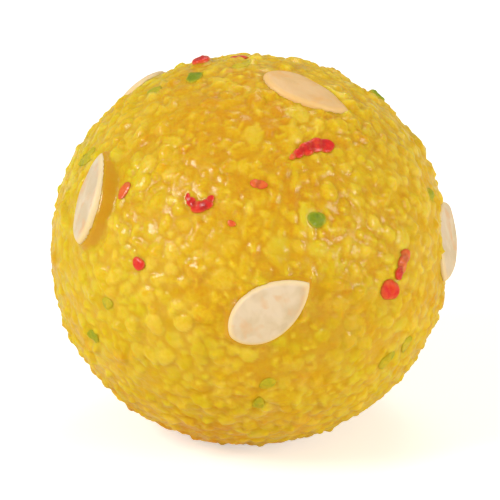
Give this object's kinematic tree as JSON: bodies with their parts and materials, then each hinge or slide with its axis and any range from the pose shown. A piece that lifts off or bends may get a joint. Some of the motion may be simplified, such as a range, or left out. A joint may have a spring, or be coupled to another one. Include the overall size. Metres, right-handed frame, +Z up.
{
  "type": "ladoo",
  "caption": "Round boondi ladoo: a hand-pressed ball of small fried gram-flour beads bound with syrup, with flat melon seeds stuck in its surface and a small flat spot that it rests on.",
  "frame": {"origin": "middle of the flat spot that the ball rests on, straight under the ball's centre", "axes": "+Z up; the side seen in the picture faces -Y, with +X to the viewer's right"},
  "size_m": [0.0435, 0.044, 0.041],
  "materials": {
    "boondi": "yellow fried gram-flour beads in syrup, moist and glossy on each bead, deeper orange in the gaps and where the syrup lies open",
    "melon_seed": "shelled melon seed, cream, smooth with a soft waxy sheen",
    "red_boondi": "dyed red bead, moist and glossy",
    "green_boondi": "dyed green bead, moist and glossy"
  },
  "bodies": {
    "root": {"ladoo": "boondi"}
  },
  "joints": []
}
